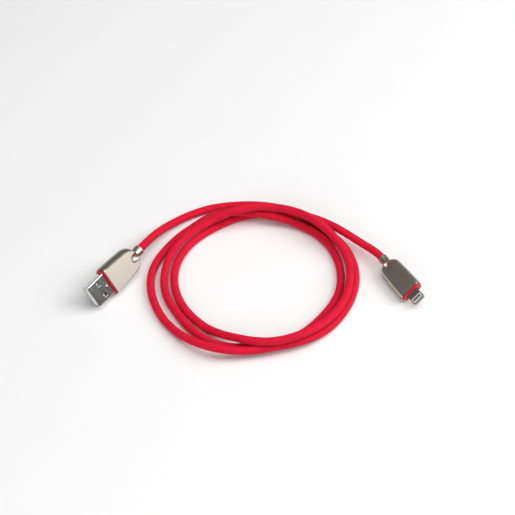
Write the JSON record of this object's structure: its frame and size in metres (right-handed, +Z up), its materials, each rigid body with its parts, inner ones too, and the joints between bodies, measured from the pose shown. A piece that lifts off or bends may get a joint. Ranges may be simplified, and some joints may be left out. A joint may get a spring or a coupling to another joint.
{
  "type": "charging cable",
  "caption": "Red braided charging cable lying in loose turns, with a champagne metal charger plug on one end and a smaller phone plug on the other.",
  "frame": {"origin": "on the table, midway between the two plugs (centre of the box that holds both plugs, at its base)", "axes": "+X from the charger plug towards the phone plug, +Y towards the back of the turns, away from the plugs' tips, +Z up from the table"},
  "size_m": [0.1675, 0.1, 0.0149],
  "materials": {
    "champagne_metal": "satin champagne metal",
    "red_rubber": "matte moulded rubber",
    "red_braid": "finely braided red sleeve",
    "nickel_plate": "mirror nickel plate",
    "dark_steel": "dark satin steel",
    "grey_plate": "grey plated contact pads",
    "brass_crimp": "plain brass",
    "white_plastic": "white moulded plastic",
    "grey_plastic": "grey moulded plastic",
    "board_green": "green circuit board",
    "black_plastic": "black moulded plastic",
    "wire_red": "coloured wire insulation",
    "wire_white": "coloured wire insulation",
    "wire_green": "coloured wire insulation",
    "wire_black": "coloured wire insulation"
  },
  "bodies": {
    "root": {"charger_collar": "red_rubber", "charger_contact_1": "nickel_plate", "charger_contact_2": "nickel_plate", "charger_contact_3": "nickel_plate", "charger_contact_4": "nickel_plate", "charger_core": "grey_plastic", "charger_crimp": "brass_crimp", "charger_housing": "champagne_metal", "charger_shell": "nickel_plate", "charger_tongue": "white_plastic", "charger_wire_1": "wire_red", "charger_wire_2": "wire_white", "charger_wire_3": "wire_green", "charger_wire_4": "wire_black", "charging_cord": "red_braid", "phone_board": "board_green", "phone_chip": "black_plastic", "phone_collar": "red_rubber", "phone_core": "grey_plastic", "phone_crimp": "brass_crimp", "phone_housing": "champagne_metal", "phone_insulator": "white_plastic", "phone_pad_bottom_1": "grey_plate", "phone_pad_bottom_2": "grey_plate", "phone_pad_bottom_3": "grey_plate", "phone_pad_bottom_4": "grey_plate", "phone_pad_bottom_5": "grey_plate", "phone_pad_bottom_6": "grey_plate", "phone_pad_bottom_7": "grey_plate", "phone_pad_bottom_8": "grey_plate", "phone_pad_top_1": "grey_plate", "phone_pad_top_2": "grey_plate", "phone_pad_top_3": "grey_plate", "phone_pad_top_4": "grey_plate", "phone_pad_top_5": "grey_plate", "phone_pad_top_6": "grey_plate", "phone_pad_top_7": "grey_plate", "phone_pad_top_8": "grey_plate", "phone_tab": "dark_steel", "phone_wire_1": "wire_red", "phone_wire_2": "wire_white", "phone_wire_3": "wire_green", "phone_wire_4": "wire_black"}
  },
  "joints": []
}
